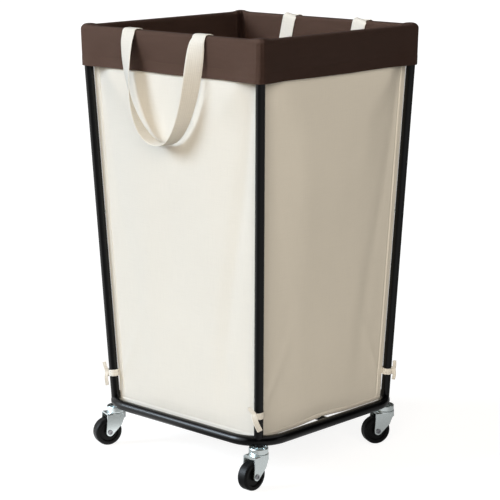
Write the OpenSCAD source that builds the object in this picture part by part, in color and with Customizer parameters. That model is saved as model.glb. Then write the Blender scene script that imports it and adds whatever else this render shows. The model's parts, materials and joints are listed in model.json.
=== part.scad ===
// Rolling laundry hamper: a canvas bag in a knock-down tube frame on four swivel casters.
// Millimetres, +Z up, origin on the floor under the middle of the frame.
// Front is -Y and right is +X.

/* [Base rail] */
// Width of the base rail between tube centres
rail_w = 391; // [320:1:460]
// Depth of the base rail between tube centres
rail_d = 374; // [300:1:440]
// Height of the base rail's tube centre above the floor
rail_z = 82; // [80:1:90]
// Diameter of the base rail's tube
rail_dia = 18; // [17:0.5:20]
// Centreline radius of the base rail's corner bends
rail_bend = 60; // [50:1:80]
// Diameter of the rod that crosses the base under the bag
cross_dia = 10; // [8:1:12]

/* [Legs and top rails] */
// Half width between the left and right legs at the top rails
leg_top_x = 208.5; // [190:0.5:225]
// Half depth between the front and back legs at the top rails
leg_top_y = 196.5; // [180:0.5:215]
// Diameter of the legs
leg_dia = 16; // [15:0.5:17]
// Height of the joint between the lower and upper legs
seam_z = 403; // [360:1:450]
// Height of the snap buttons
button_z = 431; // [425:1:440]
// Height of the top rails' tube centre
top_rail_z = 755.5; // [740:0.5:770]
// Diameter of the top rails
top_rail_dia = 12; // [10:0.5:12.5]

/* [Casters] */
// Diameter of the wheels
wheel_dia = 50.8; // [48:0.2:52]
// Width of the wheel's tread
wheel_w = 20.5; // [18:0.5:21]
// How far the wheel trails behind the stem
trail = 18; // [15:0.5:20]
// Outer width of the fork
fork_w = 28; // [27:0.5:30]
// Heading that each wheel trails in: front left, front right, back right, back left
headings = [250, 270, 243, 256]; // [0:1:359]

/* [Bag] */
// Thickness of the bag's canvas walls
canvas = 1.6; // [1:0.1:2]
// Height of the bag's floor
bag_floor_z = 87.6; // [87.4:0.1:95]
// Height of the cuff's lower edge
cuff_low_z = 694; // [660:1:710]
// Height of the cuff's top
cuff_top_z = 764; // [763.8:0.1:775]

/* [Handles and ties] */
// Width of the handles' webbing
webbing_w = 30; // [25:1:38]
// Thickness of the handles' webbing
webbing_t = 1.8; // [1.5:0.1:2.2]
// Distance between the middles of a handle's two ends
handle_span = 168; // [150:1:200]
// How far a handle's loop hangs below the rim
handle_drop = 190; // [150:1:220]
// How far the front and the back handle stand to the left of the middle, each seen from its own side
handle_left = [4, 10]; // [0:1:15]
// Height of the tapes that tie the bag to the legs
tie_z = 128; // [115:1:150]
// Width of the tie tape
tie_w = 10; // [8:0.5:12]

/* [Hidden] */
CORNERS = ["front_left", "front_right", "back_right", "back_left"];
SIDES = ["front", "right", "back", "left"];
SIGN_X = [-1, 1, 1, -1];
SIGN_Y = [-1, -1, 1, 1];
CORNER_IDS = [0 : 3];

function named(stem, ends) = [for (e = ends) str(stem, "_", e)];

$fn = 48;

// Colours
BLACK_PAINT = [0.06, 0.06, 0.065];
BLACK_PLASTIC = [0.04, 0.04, 0.04];
ZINC = [0.75, 0.78, 0.78];
CREAM = [0.92, 0.9, 0.86];
BROWN = [0.24, 0.18, 0.16];

// Clearances
touch_gap = 0.3;
run_gap = 0.06;
through = 1;

// Tube walls
rail_r = rail_dia / 2;
rail_wall = 1.4;
leg_r = leg_dia / 2;
leg_wall = 1.2;
leg_bore = leg_r - leg_wall;
spigot_gap = 0.1;
spigot_r = leg_bore - spigot_gap;
spigot_bore = spigot_r - leg_wall;
spigot_len = 52;
top_rail_r = top_rail_dia / 2;

// The legs stand on the middles of the base rail's bends and lean outwards.
bend_inset = rail_bend * (1 - cos(45));
leg_foot = [rail_w / 2 - bend_inset, rail_d / 2 - bend_inset];
leg_lean = [leg_top_x - leg_foot.x, leg_top_y - leg_foot.y] / (top_rail_z - rail_z);
leg_tilt = atan(norm(leg_lean));
leg_top_z = 760;

function leg_at(z) = leg_foot + leg_lean * (z - rail_z);
function along_leg(z) = (z - rail_z) / cos(leg_tilt);
function lean_heading(k) = atan2(SIGN_Y[k] * leg_lean.y, SIGN_X[k] * leg_lean.x);

// Snap buttons
button_r = 3.2;
button_bore = button_r + run_gap;
button_proud = 2.4;
button_neck = 3.4;
button_flange_r = 4.2;
button_flange_t = 1;
spring_w = 5;
spring_t = 0.6;
spring_len = 20;
spring_back_x = 3.6;

// Casters, along the stem from the floor up
wheel_r = wheel_dia / 2;
hub_w = 22.8;
hub_r = 8;
web_w = 14;
tread_band = 7;
tread_round = 4.5;
axle_r = 3;
axle_head_r = 4.6;
axle_head_t = 1.6;
axle_dimple_r = 2.4;
axle_dimple = 1.1;
fork_t = 2;
fork_top = 60.5;
fork_plate_r = 17.3;
fork_tail = 22.4;
fork_nose = 10;
fork_boss_r = 7;
fork_edge_r = 3;
fork_knee = [-4.5, 37];
skirt_low = 50;
stem_r = 5;
stem_head_r = 7;
stem_head_t = 2.4;
stem_collar_r = 8.3;
socket_r = 6;
socket_bore = stem_r + 0.02;
boss_r = 8;
boss_low = 72;
socket_top = 93;
stem_top = 100;
ball_r = 1.75;
ball_count = 8;
ball_circle_r = 11.5;
ball_z = fork_top + ball_r + run_gap;
cup_ceiling = ball_z + ball_r + run_gap;
cup_floor = cup_ceiling + 1.6;

// Bag and cuff, as insets from the legs' axes: minus is outside the legs
bag_inset = leg_r + 0.5;
cuff_inset = leg_r + touch_gap;
cuff_reach = cuff_inset + canvas;

// Handles: the loop swings about the rim's outer edge
rim_y = leg_at(cuff_top_z).y + cuff_reach;
hinge_y = rim_y + 0.5 + webbing_t / 2;
hinge_z = cuff_top_z + 0.5;
strap_low_z = cuff_top_z - 62;
loop_steps = 32;
loop_bulge = 5;
twist_power = 1.3;

// Ties
tie_t = 1.5;
tie_tail = 26;
tie_knot = [4.5, 10, 10];

module at_corner(k, z = 0) {
    translate([SIGN_X[k] * leg_foot.x, SIGN_Y[k] * leg_foot.y, z]) children();
}

// Puts children on leg k at height z: +Z runs up the leg, and +X away from the bag.
module on_leg(k, z) {
    translate([SIGN_X[k] * leg_at(z).x, SIGN_Y[k] * leg_at(z).y, z])
        rotate([0, leg_tilt, lean_heading(k)]) children();
}

// Puts children at caster k: the origin is on the floor under the stem, and +X trails.
module on_caster(k) {
    at_corner(k) rotate([0, 0, headings[k]]) children();
}

module along_x(length, r) {
    rotate([0, 90, 0]) cylinder(h = length, r = r, center = true);
}

module along_y(length, r) {
    rotate([90, 0, 0]) cylinder(h = length, r = r, center = true);
}

// ---- Base ----

module rail_path(r) {
    for (s = [-1, 1]) {
        translate([0, s * rail_d / 2, rail_z]) along_x(rail_w - 2 * rail_bend, r);
        translate([s * rail_w / 2, 0, rail_z]) along_y(rail_d - 2 * rail_bend, r);
    }
    for (k = CORNER_IDS)
        translate([SIGN_X[k] * (rail_w / 2 - rail_bend), SIGN_Y[k] * (rail_d / 2 - rail_bend), rail_z])
            rotate([0, 0, 180 + 90 * k])
                rotate_extrude(angle = 90) translate([rail_bend, 0]) circle(r = r);
}

module bottom_rail() {
    color(BLACK_PAINT) difference() {
        rail_path(rail_r);
        rail_path(rail_r - rail_wall);
        for (k = CORNER_IDS)
            at_corner(k, rail_z - rail_dia) cylinder(h = 2 * rail_dia, r = socket_r);
    }
}

module cross_bar() {
    color(BLACK_PAINT) difference() {
        translate([0, 0, rail_z]) along_x(rail_w, cross_dia / 2);
        for (s = [-1, 1])
            translate([s * rail_w / 2, 0, rail_z]) along_y(4 * rail_r, rail_r);
    }
}

// A short boss under each bend, with the tube that grips the caster's stem.
module stem_sockets() {
    color(BLACK_PAINT) for (k = CORNER_IDS) difference() {
        union() {
            difference() {
                at_corner(k, boss_low) cylinder(h = rail_z - boss_low, r = boss_r);
                rail_path(rail_r);
            }
            at_corner(k, boss_low) cylinder(h = socket_top - boss_low, r = socket_r);
        }
        at_corner(k, boss_low - through) cylinder(h = socket_top, r = socket_bore);
    }
}

// ---- Legs and top frame ----

module button_hole() {
    translate([-leg_dia, 0, 0]) rotate([0, 90, 0])
        cylinder(h = leg_dia - button_neck, r = button_bore);
}

// The tube, with the narrower spigot at its top that the upper leg slides over.
module lower_leg(k) {
    seam = along_leg(seam_z);
    color(BLACK_PAINT) difference() {
        on_leg(k, rail_z) rotate_extrude() polygon([
            [leg_bore, 0], [leg_r, 0], [leg_r, seam], [spigot_r, seam], [spigot_r, seam + spigot_len],
            [spigot_bore, seam + spigot_len], [spigot_bore, seam - leg_wall], [leg_bore, seam - leg_wall]
        ]);
        rail_path(rail_r);
        on_leg(k, button_z) button_hole();
    }
}

module upper_leg(k) {
    length = along_leg(leg_top_z) - along_leg(seam_z);
    color(BLACK_PAINT) difference() {
        on_leg(k, seam_z) cylinder(h = length, r = leg_r);
        on_leg(k, seam_z) translate([0, 0, -through]) cylinder(h = length + 2 * through, r = leg_bore);
        on_leg(k, button_z) button_hole();
    }
}

module leg_caps() {
    plug_len = 12;
    plug_r = leg_bore - spigot_gap;
    head_t = 1.6;
    color(BLACK_PLASTIC) for (k = CORNER_IDS) on_leg(k, leg_top_z) {
        translate([0, 0, -plug_len]) cylinder(h = plug_len + head_t, r = plug_r);
        cylinder(h = head_t, r = leg_r);
    }
}

module top_rail(side) {
    reach = leg_at(top_rail_z);
    runs_x = side % 2 == 0;
    length = 2 * (runs_x ? reach.x : reach.y);
    offset_sign = side == 0 || side == 3 ? -1 : 1;
    place = runs_x ? [0, offset_sign * reach.y, top_rail_z] : [offset_sign * reach.x, 0, top_rail_z];
    color(BLACK_PAINT) difference() {
        translate(place) rotate([0, 0, runs_x ? 0 : 90]) difference() {
            along_x(length, top_rail_r);
            along_x(length + 2 * through, top_rail_r - leg_wall);
        }
        for (k = [side, (side + 1) % 4])
            on_leg(k, top_rail_z - leg_dia) cylinder(h = 2 * leg_dia, r = leg_r);
    }
}

// The button's domed pin, its flange inside the tube and the spring arm that carries it.
module snap_button(k) {
    color(ZINC) on_leg(k, button_z) {
        rotate([0, -90, 0]) {
            translate([0, 0, button_neck - touch_gap])
                cylinder(h = leg_r + button_proud - button_neck - button_r / 2, r = button_r);
            translate([0, 0, leg_r + button_proud - touch_gap - button_r / 2])
                cylinder(h = button_r / 2, r1 = button_r, r2 = button_r / 2);
            translate([0, 0, button_neck - touch_gap - button_flange_t])
                cylinder(h = button_flange_t, r = button_flange_r);
        }
        translate([touch_gap + button_flange_t - button_neck, -spring_w / 2, -spring_len])
            cube([spring_t, spring_w, spring_len]);
    }
}

// The still half of each V spring: the arm along the tube's far wall and the bend below.
module button_springs() {
    bend_r = (spring_back_x + spring_t + button_neck - 2 * touch_gap) / 2 - button_flange_t / 2;
    color(ZINC) for (k = CORNER_IDS) on_leg(k, button_z) {
        translate([spring_back_x, -spring_w / 2, -spring_len - touch_gap])
            cube([spring_t, spring_w, spring_len]);
        translate([spring_back_x + spring_t - bend_r, 0, -spring_len - touch_gap])
            rotate([90, 0, 0]) intersection() {
                difference() {
                    cylinder(h = spring_w, r = bend_r, center = true);
                    cylinder(h = spring_w + 2 * through, r = bend_r - spring_t, center = true);
                }
                translate([-bend_r, -2 * bend_r, -spring_w])
                    cube([2 * bend_r, 2 * bend_r, 2 * spring_w]);
            }
    }
}

// ---- Casters ----

module caster_stem(k) {
    color(ZINC) at_corner(k) {
        head_top = fork_top - fork_t - touch_gap;
        translate([0, 0, head_top - stem_head_t]) cylinder(h = stem_head_t, r = stem_head_r);
        translate([0, 0, head_top]) cylinder(h = stem_top - head_top, r = stem_r);
        translate([0, 0, cup_floor]) cylinder(h = boss_low - cup_floor, r = stem_collar_r);
    }
}

// The dished upper race that the stem clamps over the balls.
module raceway_cup(k) {
    rim_top = cup_floor + 5.6;
    wall = [
        [stem_r, cup_ceiling], [13.1, cup_ceiling], [14.4, cup_ceiling - 1.4], [14.8, fork_top + 0.4],
        [16.2, fork_top + 0.4], [16.7, fork_top + 2], [16.9, rim_top - 1.3], [16.3, rim_top],
        [15.3, rim_top], [14.3, rim_top - 1.6], [13.4, cup_floor], [stem_r, cup_floor]
    ];
    color(ZINC) at_corner(k) rotate_extrude() polygon(wall);
}

module bearing_balls() {
    color(ZINC) for (k = CORNER_IDS) at_corner(k, ball_z)
        for (i = [0 : ball_count - 1])
            rotate([0, 0, 360 * i / ball_count]) translate([ball_circle_r, 0, 0]) sphere(r = ball_r, $fn = 24);
}

// Where the line from point p touches a circle; side is +1 or -1 for which of the two.
function tangent_point(centre, r, p, side) =
    let (d = p - centre, turn = atan2(d.y, d.x) + side * acos(r / norm(d)))
    centre + r * [cos(turn), sin(turn)];

// The fork's side: +X trails, and Y is the height above the floor.
module fork_side() {
    axle = [trail, wheel_r];
    tail = [fork_tail, fork_top];
    nose_low = [-fork_nose, skirt_low];
    polygon([
        tail, [-fork_nose, fork_top], nose_low, fork_knee,
        tangent_point(axle, fork_boss_r, fork_knee, 1), axle, tangent_point(axle, fork_boss_r, tail, -1)
    ]);
    translate(axle) circle(r = fork_boss_r);
}

// A block as wide as w with its two upper edges rounded.
module round_shouldered(w, r, length) {
    h = fork_top;
    translate([-length / 2, -w / 2, 0]) cube([length, w, h - r]);
    translate([-length / 2, r - w / 2, 0]) cube([length, w - 2 * r, h]);
    for (s = [-1, 1])
        translate([0, s * (w / 2 - r), h - r]) along_x(length, r);
}

module caster_fork(k) {
    span = 4 * fork_tail;
    inner_w = fork_w - 2 * fork_t;
    color(ZINC) on_caster(k) difference() {
        union() {
            intersection() {
                rotate([90, 0, 0]) linear_extrude(fork_w + 2 * through, center = true) fork_side();
                difference() {
                    round_shouldered(fork_w, fork_edge_r, span);
                    translate([0, 0, -fork_t]) round_shouldered(inner_w, fork_edge_r - fork_t, span + 2 * through);
                }
            }
            translate([0, 0, fork_top - fork_t]) cylinder(h = fork_t, r = fork_plate_r);
            difference() {
                translate([0, 0, skirt_low]) cylinder(h = fork_top - skirt_low, r = fork_plate_r);
                translate([0, 0, skirt_low - through])
                    cylinder(h = fork_top - skirt_low + 2 * through, r = fork_plate_r - fork_t);
                translate([-fork_nose, -fork_w, 0]) cube([3 * fork_w, 2 * fork_w, fork_top - fork_t]);
            }
        }
        translate([0, 0, skirt_low]) cylinder(h = fork_top, r = stem_r + run_gap);
        translate([trail, 0, wheel_r]) along_y(2 * fork_w, axle_r);
    }
}

module caster_axle(k) {
    color(ZINC) on_caster(k) translate([trail, 0, wheel_r]) difference() {
        union() {
            along_y(fork_w + 2, axle_r);
            for (s = [-1, 1])
                translate([0, s * (fork_w + axle_head_t) / 2, 0]) along_y(axle_head_t, axle_head_r);
        }
        for (s = [-1, 1])
            translate([0, s * (fork_w / 2 + axle_head_t), 0]) along_y(2 * axle_dimple, axle_dimple_r);
    }
}

// Half of the wheel's section: X is the radius and Y the distance along the axle.
module wheel_section() {
    bore = axle_r + run_gap;
    translate([bore, -hub_w / 2]) square([hub_r - bore, hub_w]);
    translate([bore, -web_w / 2]) square([wheel_r - tread_band, web_w]);
    band_low = wheel_r - tread_band;
    translate([band_low, tread_round - wheel_w / 2]) square([tread_band, wheel_w - 2 * tread_round]);
    translate([band_low, -wheel_w / 2]) square([tread_band - tread_round, wheel_w]);
    for (s = [-1, 1])
        translate([wheel_r - tread_round, s * (wheel_w / 2 - tread_round)]) circle(r = tread_round);
}

module caster_wheel(k) {
    color(BLACK_PLASTIC) on_caster(k) translate([trail, 0, wheel_r]) rotate([90, 0, 0])
        rotate_extrude($fn = 96) wheel_section();
}

// ---- Bag ----

function ring_point(k, z, inset) =
    [SIGN_X[k] * (leg_at(z).x - inset), SIGN_Y[k] * (leg_at(z).y - inset), z];

BOX_FACES = [[0, 1, 2, 3], [4, 7, 6, 5], [0, 4, 5, 1], [1, 5, 6, 2], [2, 6, 7, 3], [3, 7, 4, 0]];

// A leaning wall along one side, mitred at both ends, between two insets and two heights.
module wall_slab(side, low_z, high_z, outer_inset, inner_inset) {
    next = (side + 1) % 4;
    polyhedron(
        points = [
            ring_point(side, low_z, outer_inset), ring_point(next, low_z, outer_inset),
            ring_point(next, low_z, inner_inset), ring_point(side, low_z, inner_inset),
            ring_point(side, high_z, outer_inset), ring_point(next, high_z, outer_inset),
            ring_point(next, high_z, inner_inset), ring_point(side, high_z, inner_inset)
        ],
        faces = BOX_FACES
    );
}

module bag_wall(side) {
    color(CREAM) wall_slab(side, bag_floor_z + canvas, cuff_low_z, bag_inset, bag_inset + canvas);
}

module bag_floor() {
    reach = leg_at(bag_floor_z) - [bag_inset, bag_inset];
    color(CREAM) translate([-reach.x, -reach.y, bag_floor_z]) cube([2 * reach.x, 2 * reach.y, canvas]);
}

// The cuff's section as [inset, height]: up outside the top rail, over it and down inside.
CUFF_SECTION = [
    [-cuff_reach, cuff_low_z], [-cuff_reach, cuff_top_z], [cuff_reach, cuff_top_z], [cuff_reach, cuff_low_z],
    [cuff_inset, cuff_low_z], [cuff_inset, cuff_top_z - canvas],
    [-cuff_inset, cuff_top_z - canvas], [-cuff_inset, cuff_low_z]
];

module cuff(side) {
    count = len(CUFF_SECTION);
    points = [for (k = [side, (side + 1) % 4], p = CUFF_SECTION) ring_point(k, p.y, p.x)];
    walls = [
        for (i = [0 : count - 1])
            [i, (i + 1) % count, (i + 1) % count + count, i + count]
    ];
    ends = [[for (i = [0 : count - 1]) count - 1 - i], [for (i = [0 : count - 1]) count + i]];
    color(BROWN) polyhedron(points = points, faces = concat(ends, walls));
}

// ---- Handles ----

// The sewn ends: down the inside of the wall and over the rim. Turn is 0 for the front.
module handle_ends(turn, left) {
    color(CREAM) rotate([0, 0, turn]) for (s = [-1, 1]) {
        intersection() {
            wall_slab(0, strap_low_z, cuff_top_z, cuff_reach + touch_gap, cuff_reach + touch_gap + webbing_t);
            translate([s * handle_span / 2 - left - webbing_w / 2, -2 * rim_y, 0])
                cube([webbing_w, 4 * rim_y, 2 * cuff_top_z]);
        }
        inner_y = rim_y - 2 * cuff_reach - touch_gap - webbing_t;
        translate([s * handle_span / 2 - left - webbing_w / 2, -rim_y, cuff_top_z])
            cube([webbing_w, rim_y - inner_y, webbing_t]);
    }
}

// The loop hangs as half an ellipse and twists until it is edge-on to the wall at its foot.
function loop_middle(a) = [
    handle_span / 2 * cos(a), -hinge_y - loop_bulge * sin(2 * min(a, 180 - a)), hinge_z - handle_drop * sin(a)
];
function loop_twist(a) = 90 * pow(max(0, sin(a)), twist_power);
function loop_out(a) =
    let (v = [handle_drop * cos(a), 0, -handle_span / 2 * sin(a)])
    v / norm(v);
function loop_face(a) = loop_out(a) * sin(loop_twist(a)) + [0, -cos(loop_twist(a)), 0];
function loop_width(a) =
    let (v = cross(cross(loop_out(a), [0, 1, 0]), loop_face(a)))
    v / norm(v);
function loop_ring(a) = [
    for (c = [[-1, -1], [1, -1], [1, 1], [-1, 1]])
        loop_middle(a) + c.x * webbing_w / 2 * loop_width(a) + c.y * webbing_t / 2 * loop_face(a)
];

module handle_loop(turn, left) {
    points = [for (i = [0 : loop_steps]) each loop_ring(180 * i / loop_steps)];
    sides = [
        for (i = [0 : loop_steps - 1], j = [0 : 3])
            [4 * i + j, 4 * i + (j + 1) % 4, 4 * i + 4 + (j + 1) % 4, 4 * i + 4 + j]
    ];
    ends = [[3, 2, 1, 0], [for (j = [0 : 3]) 4 * loop_steps + j]];
    color(CREAM) rotate([0, 0, turn]) translate([-left, 0, 0])
        polyhedron(points = points, faces = concat(ends, sides));
}

// ---- Ties ----

// A tape round the leg, knotted on the outside, with two short tails.
module leg_tie(k) {
    tape_r = leg_r + touch_gap + tie_t;
    color(CREAM) on_leg(k, tie_z) {
        difference() {
            cylinder(h = tie_w, r = tape_r, center = true);
            cylinder(h = tie_w + 2 * through, r = leg_r + touch_gap, center = true);
        }
        translate([tape_r - tie_t / 2, -tie_knot.y / 2, -tie_knot.z / 2]) cube(tie_knot);
        for (lean = [-25, 150])
            translate([tape_r + tie_t, 0, 0]) rotate([lean, 0, 0])
                translate([0, -tie_w / 2, -tie_tail]) cube([tie_t, tie_w, tie_tail]);
    }
}

bottom_rail();
cross_bar();
stem_sockets();
leg_caps();
button_springs();
bearing_balls();
bag_floor();
handle_ends(0, handle_left[0]);  // handle_ends_front
handle_ends(180, handle_left[1]);  // handle_ends_back
handle_loop(0, handle_left[0]);  // handle_loop_front
handle_loop(180, handle_left[1]);  // handle_loop_back
for (k = CORNER_IDS) {
    lower_leg(k);
    upper_leg(k);
    snap_button(k);
    caster_stem(k);
    raceway_cup(k);
    caster_fork(k);
    caster_axle(k);
    caster_wheel(k);
    leg_tie(k);
}
for (side = [0 : 3]) {
    top_rail(side);
    bag_wall(side);
    cuff(side);
}
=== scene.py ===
"""A rolling laundry hamper: canvas bag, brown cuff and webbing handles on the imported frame."""
import json
import math

import bmesh
import bpy
from mathutils import Matrix, Vector, noise


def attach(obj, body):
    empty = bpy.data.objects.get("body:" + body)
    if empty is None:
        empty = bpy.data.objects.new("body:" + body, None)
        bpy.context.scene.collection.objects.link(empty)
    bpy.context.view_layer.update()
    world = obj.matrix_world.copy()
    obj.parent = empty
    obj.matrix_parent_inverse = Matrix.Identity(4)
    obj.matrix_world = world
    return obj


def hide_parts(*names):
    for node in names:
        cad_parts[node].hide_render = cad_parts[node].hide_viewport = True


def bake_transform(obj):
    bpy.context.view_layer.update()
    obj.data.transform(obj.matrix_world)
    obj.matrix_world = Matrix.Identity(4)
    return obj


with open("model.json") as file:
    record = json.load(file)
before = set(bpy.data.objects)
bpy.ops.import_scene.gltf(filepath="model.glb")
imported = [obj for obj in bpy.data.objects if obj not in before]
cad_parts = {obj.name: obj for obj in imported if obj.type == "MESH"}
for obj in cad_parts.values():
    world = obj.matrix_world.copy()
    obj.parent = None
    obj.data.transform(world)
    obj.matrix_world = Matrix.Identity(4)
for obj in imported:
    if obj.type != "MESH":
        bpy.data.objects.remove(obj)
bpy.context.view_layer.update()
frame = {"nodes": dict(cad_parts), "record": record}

MM = 0.001

# ---- The frame's dimensions, in millimetres, as in the CAD ----
SIGN_X = (-1, 1, 1, -1)
SIGN_Y = (-1, -1, 1, 1)
CORNERS = ("front_left", "front_right", "back_right", "back_left")
LEG_FOOT = (177.926, 169.426)
LEG_LEAN = (0.045396, 0.040199)
RAIL_Z = 82
LEG_R = 8
CUFF_LOW = 694
CUFF_TOP = 764.4
CUFF_OUT = 9.9
BAG_IN = 6.0
BAG_TOP = 696
CANVAS = 1.6
HANDLE_SPAN = 168
HANDLE_DROP = 190
HANDLE_LEFT = {"front": 4, "back": 10}
STRAP_SLANT = {"front": 0.0, "back": 0.2}
HINGE = (208.14, 764.5)
WEBBING_W = 30
WEBBING_T = 1.8
TIE_Z = 128
TIE_LIFT = (6, 1, 8, 4)


def half_size(z):
    """Half the spacing of the legs' axes, across and in depth, at height z."""
    return (LEG_FOOT[0] + LEG_LEAN[0] * (z - RAIL_Z), LEG_FOOT[1] + LEG_LEAN[1] * (z - RAIL_Z))


def smooth(x, low, high):
    t = max(0.0, min(1.0, (x - low) / (high - low)))
    return t * t * (3 - 2 * t)


def bump(x, centre, width):
    return math.exp(-(((x - centre) / width) ** 2))


def wander(x, y, z=0.0, seed=0.0):
    """A smooth random value from about -1 to 1 that doesn't change from run to run."""
    return noise.noise(Vector((x, y, z + 17.3 * seed)))


def add_node(tree, kind, inputs, props):
    """A shader node. inputs gives each socket a value, or another node's output to link to it."""
    made = tree.nodes.new("ShaderNode" + kind)
    for key, value in props.items():
        setattr(made, key, value)
    for key, value in inputs.items():
        if isinstance(value, bpy.types.NodeSocket):
            tree.links.new(value, made.inputs[key])
        else:
            made.inputs[key].default_value = value
    return made


# ---- Materials ----
class Paint:
    """A small helper that builds one node material."""

    def __init__(self, name, colour, roughness, metallic=0.0, **sockets):
        self.material = bpy.data.materials.new(name)
        self.material.use_nodes = True
        self.tree = self.material.node_tree
        self.shader = self.tree.nodes["Principled BSDF"]
        self.set(self.shader, "Base Color", (*colour, 1))
        self.set(self.shader, "Roughness", roughness)
        self.set(self.shader, "Metallic", metallic)
        for key, value in sockets.items():
            self.set(self.shader, key.replace("_", " "), value)

    def set(self, node, key, value):
        node.inputs[key].default_value = value

    def node(self, kind, inputs=None, **props):
        return add_node(self.tree, kind, inputs or {}, props)

    def noise(self, place, scale, detail, roughness=0.5):
        sockets = {"Vector": place, "Scale": scale, "Detail": detail, "Roughness": roughness}
        return self.node("TexNoise", sockets).outputs["Fac"]

    def math(self, operation, a, b=0.0):
        return self.node("Math", {0: a, 1: b}, operation=operation).outputs[0]

    def ramp(self, value, *stops):
        made = self.node("ValToRGB", {"Fac": value})
        while len(made.color_ramp.elements) < len(stops):
            made.color_ramp.elements.new(0.5)
        for element, (place, colour) in zip(made.color_ramp.elements, stops):
            element.position = place
            element.color = (*colour, 1) if len(colour) == 3 else colour
        return made.outputs["Color"]

    def link(self, value, key):
        self.tree.links.new(value, self.shader.inputs[key])

    def bump_from(self, height, strength, distance):
        made = self.node("Bump", {"Height": height, "Strength": strength, "Distance": distance})
        self.link(made.outputs["Normal"], "Normal")


def grey(v):
    return (v, v, v)


def tinted(colour, k):
    return tuple(c * k for c in colour)


def cloth(name, colour, pitch, contrast, strength, roughness,
          ribbed=False, selvage=None, streaks=0.0, **sockets):
    """Woven cloth. The weave follows the piece's UVs, which are in metres."""
    paint = Paint(name, colour, roughness, **sockets)
    place = paint.node("TexCoord").outputs["UV"]
    axes = paint.node("SeparateXYZ", {"Vector": place}).outputs
    turn = math.tau / pitch
    along = paint.math("SINE", paint.math("MULTIPLY", axes["X"], turn))
    across = paint.math("SINE", paint.math("MULTIPLY", axes["Y"], turn * 0.5 if ribbed else turn))
    weave = paint.math("MULTIPLY", along, across)
    if ribbed:
        weave = paint.math("ADD", paint.math("MULTIPLY", weave, 0.4), paint.math("MULTIPLY", across, 0.6))
    warp = paint.node("Mapping", {"Vector": place, "Scale": (900, 25, 1)}).outputs[0]
    weft = paint.node("Mapping", {"Vector": place, "Scale": (25, 900, 1)}).outputs[0]
    slubs = paint.math(
        "ADD",
        paint.noise(warp, 1.0, 2.0),
        paint.noise(weft, 1.0, 2.0),
    )
    broad = paint.noise(place, 9.0, 3.0)
    tone = paint.math("ADD", paint.math("MULTIPLY", slubs, 0.5), paint.math("MULTIPLY", broad, 0.35))
    tone = paint.math("ADD", tone, paint.math("MULTIPLY", weave, 0.12))
    if streaks:
        drawn = paint.node("Mapping", {"Vector": place, "Scale": (28, 190, 1)}).outputs[0]
        streak = paint.noise(drawn, 1.0, 4.0, 0.65)
        tone = paint.math("ADD", tone, paint.math("MULTIPLY", paint.math("SUBTRACT", streak, 0.5), streaks))
    if selvage:
        edge = paint.math("GREATER_THAN", paint.math("ABSOLUTE", axes["Y"]), selvage)
        tone = paint.math("ADD", tone, paint.math("MULTIPLY", edge, 0.4))
    dark, light = tinted(colour, 1 - contrast), tinted(colour, 1 + contrast / 2)
    paint.link(paint.ramp(tone, (0.35, dark), (0.68, colour), (0.95, light)), "Base Color")
    height = paint.math("ADD", paint.math("MULTIPLY", weave, 0.5), paint.math("MULTIPLY", slubs, 0.8))
    paint.bump_from(height, strength, 0.0004)
    return paint.material


def black_paint():
    paint = Paint("black_enamel", (0.001, 0.001, 0.0011), 0.2, Specular_IOR_Level=0.3)
    place = paint.node("TexCoord").outputs["Object"]
    peel = paint.noise(place, 420.0, 2.0)
    wear = paint.noise(place, 26.0, 5.0)
    paint.link(paint.ramp(wear, (0.35, grey(0.19)), (0.7, grey(0.25))), "Roughness")
    worn = paint.ramp(wear, (0.4, (0.0006, 0.0006, 0.0007)), (0.75, (0.0014, 0.0014, 0.0016)))
    paint.link(worn, "Base Color")
    paint.bump_from(peel, 0.12, 0.0004)
    return paint.material


def zinc(name, colour, roughness, metallic):
    paint = Paint(name, colour, roughness, metallic)
    place = paint.node("TexCoord").outputs["Object"]
    cloud = paint.noise(place, 24.0, 3.0, 0.5)
    fine = paint.noise(place, 900.0, 2.0)
    paint.link(paint.ramp(cloud, (0.3, tinted(colour, 0.94)), (0.7, colour)), "Base Color")
    paint.link(paint.ramp(cloud, (0.3, grey(roughness + 0.04)), (0.7, grey(roughness - 0.03))), "Roughness")
    paint.bump_from(fine, 0.05, 0.0002)
    return paint.material


def black_plastic(name, roughness):
    paint = Paint(name, (0.004, 0.004, 0.0045), roughness, Specular_IOR_Level=0.2)
    place = paint.node("TexCoord").outputs["Object"]
    cloud = paint.noise(place, 45.0, 6.0, 0.7)
    grain = paint.noise(place, 1400.0, 2.0)
    paint.link(paint.ramp(cloud, (0.4, (0.002, 0.002, 0.0023)), (0.75, (0.005, 0.005, 0.0055))), "Base Color")
    paint.link(paint.ramp(cloud, (0.35, grey(roughness)), (0.75, grey(roughness + 0.14))), "Roughness")
    paint.bump_from(grain, 0.15, 0.0002)
    return paint.material


CANVAS_COLOUR = (0.80, 0.765, 0.70)
BROWN = (0.0195, 0.011, 0.0102)
MATERIALS = {
    "black_paint": black_paint(),
    "zinc": zinc("zinc_plate", (0.86, 0.94, 0.95), 0.24, 0.9),
    "spring_steel": zinc("spring_steel", (0.42, 0.42, 0.44), 0.3, 1.0),
    "black_plastic": black_plastic("black_plug", 0.5),
    "wheel": black_plastic("wheel_black", 0.36),
    "canvas": cloth("cotton_canvas", CANVAS_COLOUR, 0.0011, 0.05, 0.35, 0.9, Specular_IOR_Level=0.1),
    "cuff_cloth": cloth("brown_canvas", BROWN, 0.001, 0.45, 0.8, 0.62, streaks=1.1, Specular_IOR_Level=1.0,
                        Specular_Tint=(1.0, 0.56, 0.36, 1)),
    "webbing": cloth("cotton_webbing", (0.75, 0.715, 0.655), 0.0016, 0.16, 0.5, 0.88, True, 0.0136,
                     Specular_IOR_Level=0.1),
    "tape": cloth("twill_tape", (0.80, 0.77, 0.72), 0.0013, 0.34, 0.5, 0.9, True, 0.0036,
                  Specular_IOR_Level=0.1),
}
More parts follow.
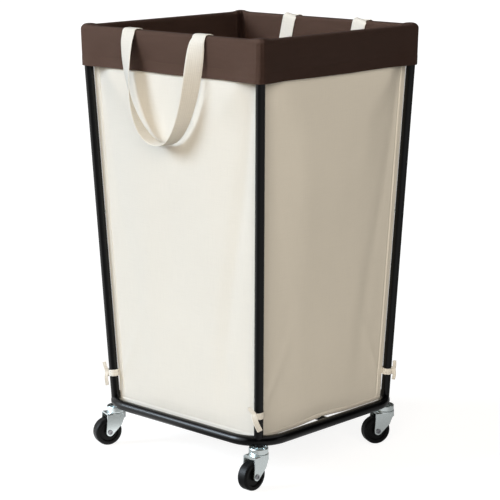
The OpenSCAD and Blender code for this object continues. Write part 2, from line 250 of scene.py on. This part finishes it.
for part in frame["record"]["subparts"]:
    slots = frame["nodes"][part["node"]].data.materials
    slots.clear()
    # Caster axles take the darker spring steel in place of their own zinc: painted shade round the axle
    # heads.
    finish_or_axle_shade = "spring_steel" if part["node"].startswith("caster_axle") else part["material_slot"]
    slots.append(MATERIALS[finish_or_axle_shade])


# ---- Mesh helpers ----
def new_object(name, points, faces, slot, uvs):
    """A mesh from points in millimetres. uvs has one pair for each face corner, in metres."""
    mesh = bpy.data.meshes.new(name)
    mesh.from_pydata([Vector(p) * MM for p in points], [], faces)
    layer = mesh.uv_layers.new(name="cloth")
    layer.data.foreach_set("uv", [value for pair in uvs for value in pair])
    mesh.polygons.foreach_set("use_smooth", [True] * len(mesh.polygons))
    mesh.materials.append(MATERIALS[slot])
    mesh.update()
    made = bpy.data.objects.new(name, mesh)
    bpy.context.scene.collection.objects.link(made)
    return made


def lofted(name, rows, slot):
    """A grid of quads through closed rows of points. Its UVs are the distances along it, in metres."""
    count = len(rows[0])
    points = [p for row in rows for p in row]
    wide = [0.0]
    middle = rows[len(rows) // 2]
    for j in range(count):
        wide.append(wide[-1] + (Vector(middle[(j + 1) % count]) - Vector(middle[j])).length * MM)
    tall = [0.0]
    for low, high in zip(rows, rows[1:]):
        tall.append(tall[-1] + (Vector(high[count // 8]) - Vector(low[count // 8])).length * MM)
    faces, uvs = [], []
    for i in range(len(rows) - 1):
        for j in range(count):
            k = (j + 1) % count
            faces.append((i * count + j, i * count + k, (i + 1) * count + k, (i + 1) * count + j))
            uvs += [(wide[j], tall[i]), (wide[j + 1], tall[i])]
            uvs += [(wide[j + 1], tall[i + 1]), (wide[j], tall[i + 1])]
    return new_object(name, points, faces, slot, uvs)


def apply_modifiers(made):
    bpy.context.view_layer.objects.active = made
    for modifier in list(made.modifiers):
        with bpy.context.temp_override(object=made, active_object=made, selected_objects=[made]):
            bpy.ops.object.modifier_apply(modifier=modifier.name)


def thicken(made, thickness):
    modifier = made.modifiers.new("Thickness", "SOLIDIFY")
    modifier.thickness = thickness * MM
    modifier.offset = -1.0
    modifier.use_even_offset = True
    apply_modifiers(made)


def subdivide(made):
    modifier = made.modifiers.new("Smooth", "SUBSURF")
    modifier.levels = 1
    modifier.use_limit_surface = False
    apply_modifiers(made)


def ribbon(name, path, wide_dirs, face_dirs, slot, width, thickness, columns, cup):
    """A flat strap along path. wide_dirs and face_dirs are unit vectors across it and out of its face."""
    section = [(-1 + 2 * i / columns, 1) for i in range(columns + 1)]
    section += [(w, -1) for w, _ in reversed(section)]
    ring = len(section)
    points, tall = [], [0.0]
    for i, (p, wide, face) in enumerate(zip(path, wide_dirs, face_dirs)):
        if i:
            tall.append(tall[-1] + (Vector(p) - Vector(path[i - 1])).length * MM)
        for w, side in section:
            edge = 1 - 0.45 * smooth(abs(w), 0.8, 1.0)
            lift = side * thickness / 2 * edge + cup * (w * w - 0.33)
            points.append(Vector(p) + wide * (w * width / 2) + face * lift)
    faces, uvs = [], []
    for i in range(len(path) - 1):
        for j in range(ring):
            k = (j + 1) % ring
            faces.append((i * ring + j, i * ring + k, (i + 1) * ring + k, (i + 1) * ring + j))
            v, next_v = section[j][0] * width / 2 * MM, section[k][0] * width / 2 * MM
            uvs += [(tall[i], v), (tall[i], next_v), (tall[i + 1], next_v), (tall[i + 1], v)]
    for i, order in ((0, 1), (len(path) - 1, -1)):
        faces.append(tuple(i * ring + j for j in range(ring))[::-order])
        uvs += [(tall[i], section[j % ring][0] * width / 2 * MM) for j in range(ring)]
    return new_object(name, points, faces, slot, uvs)


def stitches(name, runs, slot, length=3.2, gap=1.4, radius=0.38):
    """Short rounded threads along runs of (points, normals), standing a little proud of the cloth."""
    points, faces = [], []
    for line, normals in runs:
        walked, goal, on = 0.0, gap, []
        for a, b, n in zip(line, line[1:], normals):
            a, b = Vector(a), Vector(b)
            span = (b - a).length
            while goal <= walked + span and span > 0:
                on.append((a.lerp(b, (goal - walked) / span), (b - a).normalized(), Vector(n).normalized()))
                goal += length + gap
            walked += span
        for middle, ahead, out in on:
            wide = ahead.cross(out).normalized()
            base = len(points)
            for step, size in ((-0.5, 0.35), (-0.36, 1.0), (0.36, 1.0), (0.5, 0.35)):
                lift = 0.45 if abs(step) < 0.4 else -0.15
                for turn in range(6):
                    angle = math.tau * turn / 6
                    spoke = wide * math.cos(angle) + out * math.sin(angle) * 0.7
                    centre = middle + ahead * step * length + out * radius * lift
                    points.append(centre + spoke * radius * size)
            for ring in range(3):
                for turn in range(6):
                    k = (turn + 1) % 6
                    a, b = base + 6 * ring, base + 6 * ring + 6
                    faces.append((a + turn, a + k, b + k, b + turn))
            faces.append(tuple(base + 5 - turn for turn in range(6)))
            faces.append(tuple(base + 18 + turn for turn in range(6)))
    return new_object(name, points, faces, slot, [(0, 0)] * sum(len(f) for f in faces))


# ---- The bag ----
BAG_CORNER_R = 1.6
BAG_HALF = 171
BAG_HIGH = 611
SEAM_D = 10.2
HEM_STITCH = 8.2
# Distances from a corner along a side of half length BAG_HALF: close together round the seam
BAG_STEPS = [0, 0.6, 1.3, 3.2, 5.6, 8, 9.4, 10.2, 11, 11.8, 12.6, 13.6, 15.5, 18]
BAG_STEPS += [22, 27, 33, 41, 50, 60, 71, 83, 95, 108, 121, 134, 147, 159]


def bag_columns():
    """(side, share from its middle: -1 at its first corner and 1 at its second) once round the bag."""
    half = [1 - s / BAG_HALF for s in BAG_STEPS]
    shares = [-share for share in half] + [0.0] + half[:0:-1]
    return [(side, share) for side in range(4) for share in shares]


def on_side(side, x, y):
    """Turns a point that is on the front, with y outward, to one of the four sides."""
    return ((x, -y), (y, x), (-x, y), (-y, -x))[side]


def side_frame(share, half_along, half_out, r):
    """Point and outward normal on a rounded rectangle, and the distance from the nearer corner."""
    sign = -1 if share < 0 else 1
    arc = r * math.pi / 4
    total = half_along - r + arc
    d = (1 - abs(share)) * total
    if d < arc:
        turn = math.pi / 4 - d / r
        x = half_along - r + r * math.sin(turn)
        y = half_out - r + r * math.cos(turn)
        normal = (sign * math.sin(turn), math.cos(turn))
    else:
        x, y, normal = half_along - r - (d - arc), half_out, (0.0, 1.0)
    return (sign * x, y), normal, d


def bag_relief(side, share, d, z):
    """How far the canvas stands out from its flat wall, in millimetres."""
    low = min(1.0, max(0.0, (z - 85) / (BAG_TOP - 85)))
    deep = 1 - low
    seam = 0.75 * (1 - smooth(d, 10.6, 12.2)) - 0.45 * bump(d, 12.8, 1.2)
    pucker = 0.2 * math.sin(z / 1.9 + 3 * wander(z / 40, side)) * bump(d, 13.5, 5.0)
    away = smooth(d, 12, 112 - 62 * smooth(low, 0.84, 1.0))
    hung = 9.0 * smooth(low, 0.3, 1.0)
    belly = (2.6 + 1.6 * (1 - share * share)) * math.sin(math.pi * (0.12 + 0.88 * low)) ** 0.6
    wave = 1.3 * wander(share * 1.7, z / 260, side * 3.1, 1)
    wave += 0.6 * wander(share * 4.0, z / 120, side * 5.7, 2)
    valley = 19 + 58 * smooth(deep, 0.0, 0.9)
    gone = smooth(deep, 0.01, 0.1) * (1 - smooth(deep, 0.72, 1.0))
    crease = -2.3 * bump(d, valley, 8 + 10 * deep) + 0.9 * bump(d, valley + 26, 17)
    crease *= (1.0 if share > 0 else 0.3) * (1.0 if side in (0, 2) else 0.45) * gone
    wave *= 0.35 + 0.65 * math.sin(math.pi * low)
    return seam + pucker + away * (hung + belly + wave) + crease


def tie_pull(d, z):
    """The tapes pull the corners in a little, and creases run up and away from them."""
    above = z - TIE_Z
    dent = -0.9 * bump(d, 4, 14) * bump(above, 0, 16)
    crease = 1.3 * bump(d - 0.55 * abs(above), 10, 7) * smooth(d, 8, 26) * (1 - smooth(d, 60, 110))
    return dent + crease * (0.9 if above > 0 else 0.4)


def bottom_edge(side, share):
    """The bag rests on the cross bar, so its lower edge is highest at the middle of the right and left."""
    if side in (1, 3):
        return 84.3 - 3.3 * smooth(abs(share), 0.05, 0.45)
    return 81.0 - 0.8 * (1 - share * share)


def bag_point(side, share, height):
    """A point on the bag's outside: height is 0 at the lower edge and 1 at the top."""
    foot = bottom_edge(side, share)
    z = foot + height * (BAG_TOP - foot)
    hx, hy = half_size(z)
    along, out = (hx, hy) if side % 2 == 0 else (hy, hx)
    (x, y), (nx, ny), d = side_frame(share, along - BAG_IN, out - BAG_IN, BAG_CORNER_R)
    lift = bag_relief(side, share, d, z) + tie_pull(d, z)
    hem = 0.7 * (1 - smooth(z - foot, 5.5, 7.5)) - 0.45 * bump(z - foot, HEM_STITCH, 1.2)
    lift = lift * smooth(z - foot, 0, 30) + hem
    px, py = on_side(side, x + nx * lift, y + ny * lift)
    return Vector((px, py, z)), Vector((*on_side(side, nx, ny), 0))


def heights():
    """Rows up the bag, closer together at its hem and at the ties."""
    rows = [0, 2.5, 5.2, 6.6, 8.2, 9.8, 12, 16, 21, 27]
    rows += [27 + 6.5 * i for i in range(1, 12)]
    while rows[-1] < 590:
        rows.append(rows[-1] + 12)
    return [min(1.0, r / BAG_HIGH) for r in rows] + [1.0]


def bag_floor_rows(edge):
    """The bag's floor, from its lower edge inwards: it lies on the cross bar and sags on each side of it."""
    rows = []
    for share in (0.985, 0.95, 0.9, 0.8, 0.68, 0.56, 0.44, 0.32, 0.2, 0.1, 0.03):
        row = []
        for p in edge:
            x, y = p.x * share, p.y * share
            on_bar = 87.4 - 3.2 * smooth(abs(y), 4, 90)
            z = p.z + (on_bar - p.z) * smooth(1 - share, 0.0, 0.25) + 0.5 * wander(x / 60, y / 60, 0, 4)
            row.append(Vector((x, y, max(z, 87.3) if abs(y) < 6 else z)))
        rows.append(row)
    return rows


def build_bag():
    columns = bag_columns()
    walls = [[bag_point(side, share, h)[0] for side, share in columns] for h in heights()]
    rows = list(reversed(bag_floor_rows(walls[0]))) + walls
    bag = lofted("canvas_bag", rows, "canvas")
    mesh = bag.data
    count = len(columns)
    centre = Vector((0, 0, sum(p.z for p in rows[0]) / count)) * MM
    mesh.vertices.add(1)
    mesh.vertices[-1].co = centre
    fan(mesh, count)
    thicken(bag, CANVAS)
    subdivide(bag)
    return bag


def fan(mesh, count):
    """Closes the middle of the floor with triangles to the last vertex."""
    work = bmesh.new()
    work.from_mesh(mesh)
    work.verts.ensure_lookup_table()
    hub = work.verts[-1]
    for j in range(count):
        face = work.faces.new((work.verts[(j + 1) % count], work.verts[j], hub))
        face.smooth = True
    work.normal_update()
    work.to_mesh(mesh)
    work.free()


bag = build_bag()
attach(bag, "frame")
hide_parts("bag_front", "bag_right", "bag_back", "bag_left", "bag_floor")


def bag_line(side, span, share=None, height=None):
    """Points and normals along the bag's outside, up it at one share or across it at one height."""
    points, normals, steps = [], [], 150
    for i in range(steps + 1):
        t = span[0] + (span[1] - span[0]) * i / steps
        p, n = bag_point(side, t if share is None else share, t if height is None else height)
        points.append(p)
        normals.append(n)
    return points, normals


seam_share = 1 - SEAM_D / BAG_HALF
runs = []
for side in range(4):
    for sign in (-1, 1):
        runs.append(bag_line(side, (0.014, 0.995), share=sign * seam_share))
    runs.append(bag_line(side, (-seam_share, seam_share), height=HEM_STITCH / BAG_HIGH))
bag_stitches = stitches("bag_stitching", runs, "canvas")
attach(bag_stitches, "frame")

# ---- The cuff ----
CUFF_T = 1.2
RIM_R = 6.0
CUFF_STITCH = 18
CUFF_HALF = 187
# Distances from a corner along a side of half length CUFF_HALF
CUFF_STEPS = [0, 3, 6, 9, 12, 16, 24, 36, 50, 66, 84, 104, 124, 146, 168]


def cuff_section():
    """(offset outward from the legs' axes, height) from the outer hem over the rim to the inner one."""
    rise = [0, 0.5, 2, 5, 9, 13, 16, 17.2, 18, 18.8, 20, 23, 28, 34, 40, 46, 52, 57, 60]
    outer = [(CUFF_OUT, CUFF_LOW + r) for r in rise]
    centre = (CUFF_OUT - RIM_R, CUFF_TOP - RIM_R)
    angles = [math.radians(15 * i) for i in range(7)]
    arc = [(centre[0] + RIM_R * math.cos(a), centre[1] + RIM_R * math.sin(a)) for a in angles]
    half = outer + [(CUFF_OUT, centre[1] - 2.5)] + arc
    return half + [(0.0, CUFF_TOP)] + [(-o, z) for o, z in reversed(half)]


def cuff_ring(offset, z, inside):
    """One closed ring of the cuff: round the legs' axes outside, and filleted inside."""
    hx, hy = half_size(z)
    r = 3.0 + (offset + CUFF_OUT) / (2 * CUFF_OUT) * (CUFF_OUT - 3.0)
    inset = r - offset
    low = 1 - smooth(z, CUFF_LOW, CUFF_LOW + 45)
    ring = []
    for side in range(4):
        along, out = (hx, hy) if side % 2 == 0 else (hy, hx)
        centre = (along - inset, out - inset)
        stops = [(-1, None, a) for a in (-45, -37, -30, -22, -15, -7)]
        stops += [(-1, s, 0) for s in CUFF_STEPS] + [(0, None, 0)]
        stops += [(1, s, 0) for s in reversed(CUFF_STEPS)]
        stops += [(1, None, a) for a in (7, 15, 22, 30, 37)]
        for sign, step, angle in stops:
            if sign == 0:
                x, y, nx, ny, d = 0.0, centre[1] + r, 0.0, 1.0, along
            elif step is None:
                a = math.radians(angle)
                nx, ny = math.sin(a), math.cos(a)
                x, y, d = sign * centre[0] + r * nx, centre[1] + r * ny, 0.0
            else:
                x, y, nx, ny = sign * centre[0] * (1 - step / CUFF_HALF), centre[1] + r, 0.0, 1.0
                d = centre[0] * step / CUFF_HALF
            lift = cuff_relief(side, sign * (1 - d / along), d, z, angle, low, inside, offset)
            px, py = on_side(side, x + nx * lift, y + ny * lift)
            cap = (2.9 - 0.4 * max(0.0, offset - 2)) * bump(d, 0, 10)
            cap *= smooth(z, CUFF_TOP - 11, CUFF_TOP - 1)
            wavy = 0.9 * wander(side * 3.3 + sign * (1 - d / along) * 2.5, 0, 0, 6) * low
            ring.append(Vector((px, py, z + cap + wavy)))
    return ring


def cuff_relief(side, share, d, z, angle, low, inside, offset):
    """How far the cuff stands out from its plain shape, in millimetres."""
    fall = 1 - smooth(z, CUFF_LOW, CUFF_TOP - 10)
    if inside:
        wave = 0.8 * wander(share * 3, z / 50, side * 2.7, 8) * smooth(d, 6, 40)
        fin = -6.0 if angle == -45 else -2.2 * bump(d, 9, 3.5)
        return (wave + fin) * smooth(-offset, 0, 6)
    tucked = smooth(angle, 0, 12) if angle > 0 else (1 - smooth(angle, -34, -18)) * (angle < 0)
    seam = -1.0 * tucked - 0.4 * bump(angle, -30, 5)
    rise = z - CUFF_LOW
    hem = 0.26 * (1 - smooth(rise, CUFF_STITCH - 1.6, CUFF_STITCH + 1.6)) - 0.2 * bump(rise, CUFF_STITCH, 1.1)
    inward = (1.2 * (1 - smooth(rise, 0, CUFF_STITCH)) - 6.6 * fall) * smooth(d, 6, 60)
    inward += 2.4 * (CUFF_TOP - z) / (CUFF_TOP - CUFF_LOW)
    wave = 0.9 * wander(share * 2.6, z / 90, side * 4.1, 5) + 0.5 * wander(share * 7, z / 45, side, 7)
    wave *= smooth(d, 5, 40)
    wave += 0.45 * wander(share * 3.0, z / 11, side * 2.3, 9) * smooth(z, CUFF_LOW + 26, CUFF_TOP - 16)
    return (seam + hem + inward + wave * (0.4 + 0.6 * fall)) * smooth(offset, 0, 8)


def build_cuff():
    section = cuff_section()
    middle = len(section) // 2
    rows = [cuff_ring(offset, z, i > middle) for i, (offset, z) in enumerate(section)]
    cuff = lofted("brown_cuff", rows, "cuff_cloth")
    thicken(cuff, CUFF_T)
    subdivide(cuff)
    return cuff


cuff = build_cuff()
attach(cuff, "frame")
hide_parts("cuff_front", "cuff_right", "cuff_back", "cuff_left")

# ---- The handles ----
RIM_PATH_R = RIM_R + 0.25 + WEBBING_T / 2


def rim_arc(end):
    """(offset from the legs' axes, height, angle) over a shoulder of the rim, from its top to end degrees."""
    centre = (CUFF_OUT - RIM_R, CUFF_TOP - RIM_R)
    points = []
    for i in range(7):
        a = math.radians(90 + (end - 90) * i / 6)
        points.append((centre[0] + RIM_PATH_R * math.cos(a), centre[1] + RIM_PATH_R * math.sin(a), a))
    return points


def loop_middle(a):
    """The middle of the webbing at angle a in degrees round the loop, which hangs squarer on its left."""
    t = math.radians(a)
    fold = min(a, 180 - a) / 90
    square = 1.0 if a < 90 else 0.88
    across = math.copysign(abs(math.cos(t)) ** square, math.cos(t))
    return Vector((
        HANDLE_SPAN / 2 * across,
        -HINGE[0] + 0.1 - 9.0 * math.sin(math.pi * fold ** 0.6) - 4.0 * fold,
        HINGE[1] - HANDLE_DROP * math.sin(t) ** square,
    ))


def loop_frame(a):
    """Middle, width direction and face of the hanging loop. Its right side turns sooner than its left."""
    ahead = loop_middle(a + 0.4) - loop_middle(a - 0.4)
    out = Vector((-ahead.z, 0, ahead.x)).normalized()
    fold = min(a, 180 - a) / 90
    share = math.sin(math.radians(a)) ** (0.62 if a < 90 else 1.1)
    twist = math.radians(90 * share * smooth(fold, -0.03, 0.1))
    face = out * math.sin(twist) + Vector((0, -math.cos(twist), 0))
    wide = out.cross(Vector((0, 1, 0))).cross(face).normalized()
    return loop_middle(a), wide, face


def aligned(vectors):
    """The same directions, each turned to agree with the one before it."""
    done = [vectors[0]]
    for v in vectors[1:]:
        done.append(v if v.dot(done[-1]) > 0 else -v)
    return done


def loop_path(left):
    """The whole loop from one end on the rim to the other, with its width directions and faces."""
    over = []
    top_y = -half_size(CUFF_TOP)[1]
    for i in range(3):
        over.append((top_y - (CUFF_OUT - RIM_R) * i / 3, CUFF_TOP + RIM_PATH_R - RIM_R, math.pi / 2))
    over += [(top_y - offset, z, a) for offset, z, a in rim_arc(8)]
    sides = []
    for x in (HANDLE_SPAN / 2, -HANDLE_SPAN / 2):
        sides.append([
            (Vector((x, y, z)), Vector((1, 0, 0)), Vector((0, -math.cos(a), math.sin(a)))) for y, z, a in over
        ])
    hanging = [loop_frame(3.2 + 3.6 * i) for i in range(49)]
    path, wides, faces = zip(*(sides[0] + hanging + sides[1][::-1]))
    return [p - Vector((left, 0, 0)) for p in path], aligned(wides), aligned(faces)


def turned(vectors, sign):
    """The front's points turned half round for the back."""
    return [Vector((v.x * sign, v.y * sign, v.z)) for v in vectors]


def end_path(x, slant):
    """One sewn end: from the middle of the rim over its inner shoulder and down the inside."""
    path, faces = [], []
    top_y = -half_size(CUFF_TOP)[1]
    for i in range(3):
        path.append(Vector((x, top_y + (CUFF_OUT - RIM_R) * i / 3, CUFF_TOP + RIM_PATH_R - RIM_R)))
        faces.append(Vector((0, 0, 1)))
    for offset, z, a in rim_arc(0):
        path.append(Vector((x + slant * (CUFF_TOP - z) * smooth(CUFF_TOP - z, 0, 6), top_y + offset, z)))
        faces.append(Vector((0, math.cos(a), math.sin(a))))
    for z in (750, 742, 733, 724, 716, 708, 703, 701.5):
        path.append(inner_face(x + slant * (CUFF_TOP - z), z))
        faces.append(Vector((0, 1, 0.04)).normalized())
    return path, faces


def inner_face(x, z, lift=0.0):
    """A point on the middle of a sewn end, down the inside of the front wall."""
    return Vector((x, -half_size(z)[1] + CUFF_OUT + RIM_PATH_R - RIM_R + lift, z))


def box_stitch(x, slant):
    """The crossed box that sews an end down, as two runs of corners."""
    def corner(dx, z):
        return inner_face(x + dx + slant * (CUFF_TOP - z), z, WEBBING_T / 2)

    box = [corner(*c) for c in ((-12, 705), (12, 705), (12, 729), (-12, 729), (-12, 705), (12, 729))]
    return box, [corner(12, 705), corner(-12, 729)]


def build_handle(side_name, sign):
    left, slant = HANDLE_LEFT[side_name], STRAP_SLANT[side_name]
    path, wides, faces = loop_path(left)
    loop = ribbon("handle_webbing_" + side_name, turned(path, sign), turned(wides, sign), turned(faces, sign),
                  "webbing", WEBBING_W, WEBBING_T, columns=10, cup=0.35)
    subdivide(loop)
    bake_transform(loop)
    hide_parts("handle_loop_" + side_name)
    runs = []
    for end_name, x in (("left", -HANDLE_SPAN / 2 - left), ("right", HANDLE_SPAN / 2 - left)):
        end, end_faces = end_path(x, slant)
        across = [Vector((1, 0, slant)).normalized()] * len(end)
        tab = ribbon("handle_end_%s_%s" % (side_name, end_name), turned(end, sign), turned(across, sign),
                     turned(end_faces, sign), "webbing", WEBBING_W, WEBBING_T, columns=10, cup=0.2)
        subdivide(tab)
        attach(tab, "frame")
        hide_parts("handle_ends_" + side_name)
        for line in box_stitch(x, slant):
            runs.append((turned(line, sign), turned([Vector((0, 1, 0))] * len(line), sign)))
    sewn = stitches("handle_stitching_" + side_name, runs, "webbing", length=2.4, gap=1.1, radius=0.35)
    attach(sewn, "frame")


build_handle("front", 1)
build_handle("back", -1)

# ---- The ties ----
TAPE_STEPS = 5


def leg_frame(k, z):
    """Point on leg k at height z, with the directions outward, sideways and up the leg."""
    hx, hy = half_size(z)
    base = Vector((SIGN_X[k] * hx, SIGN_Y[k] * hy, z))
    up = Vector((SIGN_X[k] * LEG_LEAN[0], SIGN_Y[k] * LEG_LEAN[1], 1)).normalized()
    out = Vector((SIGN_X[k], SIGN_Y[k], 0)).normalized()
    out = (out - up * out.dot(up)).normalized()
    return base, out, up.cross(out).normalized(), up


def curve_points(controls):
    """A smooth line through the given points, with TAPE_STEPS steps from each to the next."""
    pts = [controls[0]] + list(controls) + [controls[-1]]
    line = []
    for a, b, c, d in zip(pts, pts[1:], pts[2:], pts[3:]):
        for i in range(TAPE_STEPS):
            t = i / TAPE_STEPS
            square, cube = 2 * a - 5 * b + 4 * c - d, 3 * b - a - 3 * c + d
            line.append(0.5 * (2 * b + (c - a) * t + square * t ** 2 + cube * t ** 3))
    line.append(pts[-2])
    return line


def tape(name, controls, face_hints, width, thickness=1.2):
    """A short tape along controls. At each of them its face turns towards the hint as far as it can."""
    line = curve_points(controls)
    hints = curve_points(face_hints)
    wides, faces = [], []
    for i, p in enumerate(line):
        ahead = (line[min(i + 1, len(line) - 1)] - line[max(i - 1, 0)]).normalized()
        face = (hints[i] - ahead * hints[i].dot(ahead)).normalized()
        faces.append(face)
        wides.append(ahead.cross(face).normalized())
    return ribbon(name, line, wides, faces, "tape", width, thickness, columns=6, cup=0.25)


# For each leg: how far the tie's front is turned round it from straight out, in degrees, and then the knot
# (across, ahead) and the points of both tails (across, ahead, up) as seen from that front, in millimetres
TIE_FACE = (85, 0, -85, 40)
TIE_KNOT = ((-11.5, 2.5), (-8.0, 11.0), (11.5, 2.5), (8.0, 10.0))
TAIL_UP = (
    ((-11, 4, 2), (-12.5, 5, 7), (-14, 5.5, 14), (-15.6, 5, 22)),
    ((-6, 11, 3), (-9, 11.5, 7), (-13.5, 11, 12), (-18, 10, 17)),
    ((11, 4, 2), (12, 5, 7), (12, 5.5, 13), (11.5, 5, 20)),
    ((6, 11, 3), (9, 11, 8), (12, 10, 14), (15, 9, 20)),
)
TAIL_DOWN = (
    ((-12, 5, 1), (-13.5, 6, -6), (-13.5, 6, -14), (-13, 5, -23)),
    ((-9, 13.5, 4), (-6.5, 15.0, -5), (-2.5, 14.5, -15), (2.2, 13, -25)),
    ((12, 5, 1), (13, 6, -6), (12.5, 6, -11), (12, 5, -16)),
    ((9, 12, 4), (8, 13.5, -5), (6, 13, -14), (4, 12, -24)),
)


def build_tie(k):
    """A tape that goes twice round the leg, with a knot on its outside and two tails."""
    base, out, side, up = leg_frame(k, TIE_Z + TIE_LIFT[k])
    face = out * math.cos(math.radians(TIE_FACE[k])) + side * math.sin(math.radians(TIE_FACE[k]))
    wide = up.cross(face)

    def at(across, ahead, height):
        return base + wide * across + face * ahead + up * height

    def wrap(name, radius, height, slope):
        rounds = [math.radians(-172 + 28.6 * i) for i in range(13)]
        points = [base + out * (math.cos(a) * radius) + side * (math.sin(a) * radius)
                  + up * (height + slope * math.sin(a)) for a in rounds]
        return tape(name, points, [out * math.cos(a) + side * math.sin(a) for a in rounds], 6.4, 1.5)

    def tail(name, points, width):
        return tape(name, [at(*p) for p in points], [face + up * 0.1] * len(points), width)

    w, f = TIE_KNOT[k]
    knot = [(w - 1, f - 4, 6.5), (w - 1, f + 0.5, 6), (w, f + 2.4, 0)]
    knot += [(w + 1, f + 0.5, -5.5), (w + 1, f - 4, -6)]
    tilts = (2.5, 1.0, 0.0, -1.0, -2.5)
    pieces = [
        wrap("tape_wrap_a_" + CORNERS[k], LEG_R + 1.0, 2.6, 0.8),
        wrap("tape_wrap_b_" + CORNERS[k], LEG_R + 1.2, -2.6, 0.4),
        tape("tape_knot_" + CORNERS[k], [at(*p) for p in knot], [face + up * t for t in tilts], 8.5, 1.6),
        tail("tape_tail_up_" + CORNERS[k], TAIL_UP[k], 7.0),
        tail("tape_tail_down_" + CORNERS[k], TAIL_DOWN[k], 9.5 if k % 2 else 6.5),
    ]
    for piece in pieces:
        subdivide(piece)
        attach(piece, "frame")
        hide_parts("leg_tie_" + CORNERS[k])


for corner in range(4):
    build_tie(corner)

# ---- Floor, light and camera ----
bpy.ops.mesh.primitive_plane_add(size=80, location=(0, 0, -0.0005))
floor = bpy.context.object
floor.name = "floor"
floor_paint = Paint("pale_floor", (0.35, 0.35, 0.35), 0.8, Specular_IOR_Level=0.0,
                    Emission_Color=(1, 1, 1, 1), Emission_Strength=0.86)
# Only the camera sees the white floor. A reflection shows a grey one with two bright sides, and the light
# that it throws back is dim
bounce = floor_paint.node("BsdfDiffuse", {"Color": (0.24, 0.22, 0.19, 1)})
floor_place = floor_paint.node("TexCoord").outputs["Object"]
outwards = floor_paint.node("VectorMath", {0: floor_place}, operation="NORMALIZE")
glow = 0.33
for towards, low, high, gain in (((-0.73, -0.685, 0), 0.8, 0.97, 0.9), ((0.97, -0.24, 0), 0.75, 0.95, 0.26)):
    facing = floor_paint.node("VectorMath", {0: outwards.outputs[0], 1: towards}, operation="DOT_PRODUCT")
    span = {"Value": facing.outputs["Value"], "From Min": low, "From Max": high, "To Max": gain}
    panel = floor_paint.node("MapRange", span, interpolation_type="SMOOTHSTEP")
    glow = floor_paint.math("ADD", glow, panel.outputs["Result"])
mirrored = floor_paint.node("Emission", {"Strength": glow})
ray = floor_paint.node("LightPath").outputs
dim, grey_floor, white = bounce.outputs[0], mirrored.outputs[0], floor_paint.shader.outputs[0]
unseen = floor_paint.node("MixShader", {0: ray["Is Glossy Ray"], 1: dim, 2: grey_floor})
shown = floor_paint.node("MixShader", {0: ray["Is Camera Ray"], 1: unseen.outputs[0], 2: white})
floor_paint.tree.links.new(shown.outputs[0], floor_paint.tree.nodes["Material Output"].inputs["Surface"])
floor.data.materials.append(floor_paint.material)


def sun(name, towards, strength, angle, colour, shines=True):
    """A soft lamp that shines from the direction towards. One that doesn't shine makes no highlights."""
    lamp = bpy.data.lights.new(name, "SUN")
    lamp.energy = strength
    lamp.angle = math.radians(angle)
    lamp.color = colour
    made = bpy.data.objects.new(name, lamp)
    made.rotation_euler = Vector(towards).to_track_quat("Z", "Y").to_euler()
    made.visible_glossy = shines
    bpy.context.scene.collection.objects.link(made)


sun("key", (-0.55, -0.75, 0.50), 2.4, 28, (0.86, 1.0, 1.15))
sun("fill", (0.66, -0.70, 0.30), 2.55, 60, (1.0, 0.92, 0.80), shines=False)

world = bpy.data.worlds.new("studio")
bpy.context.scene.world = world
world.use_nodes = True
tree = world.node_tree
background = tree.nodes["Background"]


def sky_node(kind, inputs, **props):
    return add_node(tree, kind, inputs, props).outputs[0]


direction = tree.nodes.new("ShaderNodeTexCoord").outputs["Generated"]


def lobe(towards, low, high):
    """0 where the sky's direction is far from towards, and 1 close to it."""
    aim = {0: direction, 1: Vector(towards).normalized()}
    near = add_node(tree, "VectorMath", aim, {"operation": "DOT_PRODUCT"}).outputs["Value"]
    span = {"Value": near, "From Min": low, "From Max": high}
    return sky_node("MapRange", span, interpolation_type="SMOOTHSTEP")


reflected = (0.03, 0.03, 0.03)
for towards, low, high, gain in (
    ((-0.55, -0.80, 0.35), 0.7, 0.93, (2.0, 2.1, 2.2)),
    ((-0.95, 0.1, 0.3), 0.8, 0.97, (0.6, 0.6, 0.6)),
    ((0.9, 0.42, 0.15), 0.93, 0.99, (0.5, 0.5, 0.5)),
    ((0.1, 0.2, 1.0), 0.75, 0.95, (0.7, 0.7, 0.7)),
):
    scaled = sky_node("VectorMath", {0: gain, "Scale": lobe(towards, low, high)}, operation="SCALE")
    reflected = sky_node("VectorMath", {0: reflected, 1: scaled}, operation="ADD")
sky_ray = tree.nodes.new("ShaderNodeLightPath").outputs
ambient = sky_node("MixRGB", {0: sky_ray["Is Glossy Ray"], 1: (0.19, 0.175, 0.15, 1), 2: reflected})
seen_sky = sky_node("MixRGB", {0: sky_ray["Is Camera Ray"], 1: ambient, 2: (0.95, 0.95, 0.95, 1)})
tree.links.new(seen_sky, background.inputs["Color"])
background.inputs["Strength"].default_value = 1.0

# Where the camera stands, in metres, and its turn from the +Y axis, tilt down and roll, in degrees
CAMERA_AT = (2.1751, -2.3143, 1.0426)
CAMERA_TURN, CAMERA_DOWN, CAMERA_ROLL = 43.23, 12.12, -0.10
camera_data = bpy.data.cameras.new("camera")
camera = bpy.data.objects.new("camera", camera_data)
bpy.context.scene.collection.objects.link(camera)
camera_data.lens = 130.2
camera_data.sensor_width = 36
camera_data.clip_end = 200
turn = Matrix.Rotation(math.radians(CAMERA_TURN), 4, "Z")
tilt = Matrix.Rotation(math.radians(90 - CAMERA_DOWN), 4, "X")
roll = Matrix.Rotation(math.radians(CAMERA_ROLL), 4, "Z")
camera.matrix_world = Matrix.Translation(CAMERA_AT) @ turn @ tilt @ roll
bpy.context.scene.camera = camera
bpy.context.scene.view_settings.view_transform = "Standard"

bpy.context.view_layer.update()
